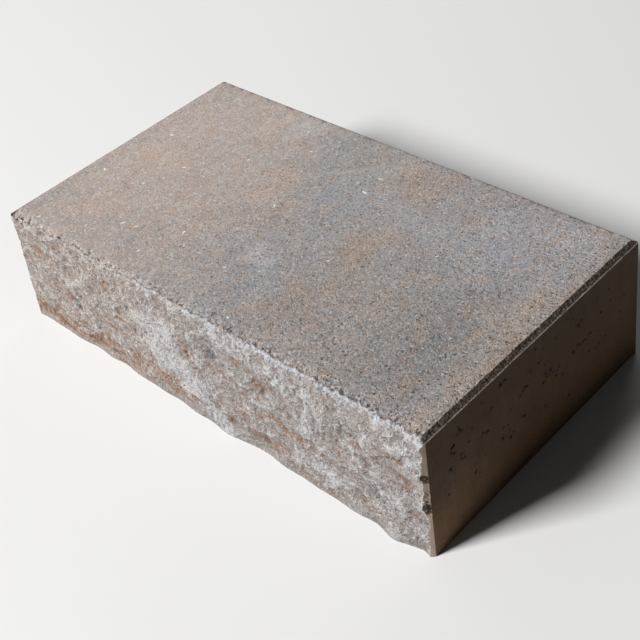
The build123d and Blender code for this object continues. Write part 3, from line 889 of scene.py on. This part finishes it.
# pores, painted dark as the shade inside them
dp, rp, gp, bp = g.voronoi(6.0, offset=(3, 19, 4), vector=warped(g, g.mm, 2.6, 2.2))
pore = g.ramp(g.math("SUBTRACT", dp, g.ramp(rp, 0.6, 1.0, 0.0, 0.20, smooth=False)), 0.02, -0.08)
col = g.mix(g.math("MULTIPLY", pore, 0.6), col, srgb(76, 66, 60))
# painted shade in the crumbled hollows just below the arris
sunk = g.ramp(g.math("ADD", g.attribute("sunk"), g.ramp(g.noise(1.8, 3, 0.7, offset=(3, 3, 9)), 0.3, 0.7, -0.25, 0.25, smooth=False)), 0.35, 0.95)
col = g.mix(g.math("MULTIPLY", sunk, 0.72), col, srgb(76, 67, 60))
dusty = g.ramp(g.math("ADD", dust_s, g.ramp(g.noise(1.9, 3, 0.75, offset=(8, 8, 8)), 0.3, 0.7, -0.6, 0.6, smooth=False)), 0.3, 0.85)
col = g.mix(g.math("MULTIPLY", dusty, 0.90), col, g.mix(side, srgb(174, 175, 178), srgb(180, 184, 190)))
# flank of the split groove: smooth, as moulded, darker towards the top, with two torn patches whose pits are painted
# near black as shade
cast = g.mix(g.ramp(g.noise(18, 3, 0.6), 0.3, 0.7), srgb(150, 136, 123), srgb(140, 126, 114))
cast = g.mix(g.ramp(g.noise(3.0, 3, 0.7, offset=(1, 2, 3)), 0.60, 0.72, 0.0, 0.4), cast, srgb(118, 104, 92))
cast = g.vec("SCALE", cast, scale=g.ramp(g.z, 15, 135, 1.10, 0.66, smooth=False))
torn_zone = g.math("MAXIMUM", g.ramp(g.math("ABSOLUTE", g.math("SUBTRACT", g.z, 72.0)), 20.0, 13.0),
                   g.ramp(g.math("ABSOLUTE", g.math("SUBTRACT", g.z, 102.0)), 7.0, 4.0))
pit_zone = g.math("MAXIMUM", g.ramp(g.math("ABSOLUTE", g.math("SUBTRACT", g.z, 63.0)), 9.0, 3.0),
                  g.ramp(g.math("ABSOLUTE", g.math("SUBTRACT", g.z, 102.0)), 5.5, 1.5))
torn_n = g.math("SUBTRACT", g.noise(2.6, 3, 0.7, offset=(9, 2, 3)), g.math("MULTIPLY", pit_zone, 0.16))
torn_pit_shade_col = g.mix(g.ramp(torn_n, 0.40, 0.50), srgb(34, 27, 23), srgb(132, 118, 105))
cast = g.mix(g.math("MULTIPLY", torn_zone, 0.9), cast, torn_pit_shade_col)
is_flank = g.ramp(flank_s, 0.4, 0.6)
col = g.mix(is_flank, col, cast)
h = g.math("ADD", g.math("MULTIPLY", g.noise(1.8, 3, 0.7, offset=(4, 4, 4)), 1.0), g.math("MULTIPLY", g.noise(3.6, 3, 0.65), 0.7))
h = g.math("ADD", h, g.math("MULTIPLY", webs, 0.55))
h = g.math("ADD", h, g.math("MULTIPLY", g.ramp(d1, 0.75, 0.05), 0.25))
h = g.math("SUBTRACT", h, g.math("MULTIPLY", pore, 1.0))
h = g.math("MULTIPLY", h, g.ramp(flank_s, 0.4, 0.6, 1.0, 0.12))
mat_split = g.finish(col, g.bump(h, 1.0, 0.0020), 0.95, 0.15)

# moulded ends and back -----------------------------------------------------
g = Graph("moulded_concrete_painted_shade")
# the base colour is a dark brown, far darker than the lit flank of the same moulded surface: painted shade for the
# right end, which faces away from the key
base = g.mix(g.ramp(g.noise(70, 4, 0.6), 0.3, 0.7), srgb(84, 64, 44), srgb(77, 58, 40))
base = g.mix(g.ramp(g.noise(24, 4, 0.6, offset=(9, 9, 9)), 0.5, 0.75, 0.0, 0.4), base, srgb(68, 52, 37))
# painted floor bounce: paler towards the bed, and most so low down next to the split face; darker towards the top as
# painted shade
patchy = g.ramp(g.noise(30, 4, 0.65, offset=(4, 8, 6)), 0.3, 0.7, -14, 14, smooth=False)
base = g.vec("SCALE", base, scale=g.ramp(g.math("ADD", g.z, patchy), 30, 118, 1.30, 0.76, smooth=False))
low_front_bounce = g.math("MULTIPLY", g.ramp(g.math("ADD", g.z, patchy), 100, 20, 0.0, 0.55), g.ramp(g.y, -20, -165))
base = g.vec("SCALE", base, scale=g.math("ADD", low_front_bounce, 1.0))
# paler towards the left end, along the back as well, so that the right end keeps the full dark base colour of its
# painted shade
lighter = g.mix(g.ramp(g.noise(70, 4, 0.6, offset=(5, 1, 1)), 0.35, 0.65), srgb(124, 106, 90), srgb(112, 96, 82))
along_x = g.math("ADD", g.x, g.ramp(g.noise(110, 4, 0.6, offset=(1, 7, 3)), 0.3, 0.7, -120, 120, smooth=False))
base = g.mix(g.ramp(along_x, 240, -220, 0.0, 1.0), base, lighter)
base = g.vec("SCALE", base, scale=g.ramp(g.noise(2.2, 3, 0.6), 0.3, 0.7, 0.92, 1.08, smooth=False))
# sandy grain, and faint upright marks where the face slid out of the mould
sand = g.noise(1.1, 3, 0.75, offset=(3, 3, 3))
drawn = g.noise(5.0, 4, 0.65, offset=(7, 7, 1), stretch=(1, 1, 0.08))
base = g.vec("SCALE", base, scale=g.math("ADD", g.ramp(sand, 0.3, 0.7, 0.89, 1.11, smooth=False), g.ramp(drawn, 0.3, 0.7, -0.07, 0.07, smooth=False)))
# air holes, painted near black as the shade inside them
wv = warped(g, g.mm, 2.6, 2.6)
cluster = g.ramp(g.noise(38, 2, 0.5, offset=(2, 5, 8), stretch=(1, 0.8, 1.3)), 0.42, 0.60)
dh, rh, gh, bh = g.voronoi(3.4, vector=wv, stretch=(1, 0.7, 1.2))
size = g.math("MULTIPLY", g.ramp(rh, 0.35, 1.0, 0.0, 0.34, smooth=False), cluster)
hole = g.ramp(g.math("SUBTRACT", dh, size), 0.01, -0.06)
cluster2 = g.ramp(g.noise(26, 3, 0.6, offset=(12, 15, 3), stretch=(1, 0.8, 1.5)), 0.44, 0.62)
dk, rk, gk, bk = g.voronoi(2.0, offset=(4, 14, 9), vector=warped(g, g.mm, 1.8, 1.6))
size2 = g.math("MULTIPLY", g.ramp(rk, 0.45, 1.0, 0.0, 0.36, smooth=False), cluster2)
hole = g.math("MAXIMUM", hole, g.ramp(g.math("SUBTRACT", dk, size2), 0.01, -0.08))
dark = g.math("MAXIMUM", g.math("MULTIPLY", hole, 0.85), g.math("MULTIPLY", g.ramp(g.attribute("hole"), 0.10, 0.50), 0.95))
col = g.mix(dark, base, srgb(24, 18, 14))
h = g.math("SUBTRACT", g.math("MULTIPLY", g.noise(2.5, 2, 0.5), 0.18), g.math("MULTIPLY", hole, 0.8))
h = g.math("ADD", h, g.math("ADD", g.math("MULTIPLY", sand, 0.16), g.math("MULTIPLY", drawn, 0.12)))
mat_cast_shaded = g.finish(col, g.bump(h, 0.8, 0.0010), 0.8, 0.3)

# bed -----------------------------------------------------------------------
g = Graph("bed_concrete")
base = g.mix(g.ramp(g.noise(70, 4, 0.6), 0.3, 0.7), srgb(150, 142, 134), srgb(134, 126, 118))
d1, r1, g1, b1 = g.voronoi(2.4)
col = g.vec("SCALE", base, scale=g.ramp(r1, 0, 1, 0.86, 1.12, smooth=False))
mat_bed = g.finish(col, g.bump(g.noise(2.5, 3, 0.6), 0.7, 0.001), 0.95, 0.2)

for m in (mat_tread, mat_split, mat_cast_shaded, mat_bed):
    mesh.materials.append(m)
mesh.polygons.foreach_set("material_index", np.array(kinds, dtype=np.int32))
smooth = np.ones(len(faces), dtype=bool)
smooth[-1] = False
mesh.polygons.foreach_set("use_smooth", smooth)
mesh.set_sharp_from_angle(angle=math.radians(35))
mesh.update()

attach(block, "root")
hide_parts("step_block")

# ---- floor ----------------------------------------------------------------
fm = bpy.data.meshes.new("floor")
r = 9.0
around = [(r * math.cos(math.tau * i / 96), r * math.sin(math.tau * i / 96)) for i in range(96)]
fm.from_pydata([(x, y, 0) for x, y in around], [], [tuple(range(96))])
floor = bpy.data.objects.new("floor", fm)
bpy.context.collection.objects.link(floor)
fmat = bpy.data.materials.new("floor_pale")
fmat.use_nodes = True
fb = fmat.node_tree.nodes["Principled BSDF"]
fb.inputs["Base Color"].default_value = (0.63, 0.628, 0.622, 1)
fb.inputs["Roughness"].default_value = 0.9
fb.inputs["Specular IOR Level"].default_value = 0.1
fm.materials.append(fmat)

# a pale backdrop round the floor, which gives no light of its own to the block
bm = bpy.data.meshes.new("backdrop")
bm.from_pydata([(x, y, z) for z in (0.0, 7.0) for x, y in around], [],
               [(i, (i + 1) % 96, (i + 1) % 96 + 96, i + 96) for i in range(96)])
backdrop = bpy.data.objects.new("backdrop", bm)
bpy.context.collection.objects.link(backdrop)
bmat = bpy.data.materials.new("backdrop_pale")
bmat.use_nodes = True
bb = bmat.node_tree.nodes["Principled BSDF"]
bb.inputs["Base Color"].default_value = (0.1, 0.1, 0.1, 1)
bb.inputs["Roughness"].default_value = 1.0
bb.inputs["Emission Color"].default_value = (1.0, 0.997, 0.99, 1)
bb.inputs["Emission Strength"].default_value = 0.62
bm.materials.append(bmat)
backdrop.visible_diffuse = backdrop.visible_glossy = backdrop.visible_shadow = False
backdrop.visible_transmission = False

# ---- light ----------------------------------------------------------------
scene = bpy.context.scene
scene.view_settings.view_transform = "Standard"
world = bpy.data.worlds.new("studio")
scene.world = world
world.use_nodes = True
bg = world.node_tree.nodes["Background"]
bg.inputs[0].default_value = (1.0, 0.97, 0.94, 1)
bg.inputs[1].default_value = 0.04


def area(name, loc, aim, size, power, colour=(1, 1, 1)):
    lamp = bpy.data.lights.new(name, "AREA")
    lamp.shape = "RECTANGLE"
    lamp.size, lamp.size_y = size
    lamp.energy = power
    lamp.color = colour
    o = bpy.data.objects.new(name, lamp)
    o.location = loc
    o.rotation_mode = "QUATERNION"
    o.rotation_quaternion = (Vector(aim) - Vector(loc)).to_track_quat("-Z", "Y")
    bpy.context.collection.objects.link(o)


key_dir = Vector((-0.30, -0.70, 0.62)).normalized()
area("key", key_dir * 7.0, (0, 0, 0.07), (1.8, 1.8), 925)
area("back_fill", (-1.2, 2.4, 0.9), (0, 0.1, 0.07), (1.6, 1.2), 18)

# ---- camera ---------------------------------------------------------------
cam_data = bpy.data.cameras.new("camera")
cam = bpy.data.objects.new("camera", cam_data)
bpy.context.collection.objects.link(cam)
right = Vector((0.738035, 0.665549, -0.111124))
down_v = Vector((0.321405, -0.491547, -0.80937))
ahead = Vector((-0.593298, 0.561628, -0.57669))
turn = Matrix((right, -down_v, -ahead)).transposed()
cam.rotation_mode = "QUATERNION"
cam.rotation_quaternion = turn.to_quaternion()
cam.location = (0.85928, -0.76871, 0.98654)
cam_data.sensor_fit = "HORIZONTAL"
cam_data.sensor_width = 36.0
cam_data.lens = 1349.5 * 36.0 / 640.0
cam_data.shift_x = (320 - 330.0) / 640.0
cam_data.shift_y = (205.0 - 320) / 640.0
cam_data.clip_start, cam_data.clip_end = 0.05, 50
scene.camera = cam
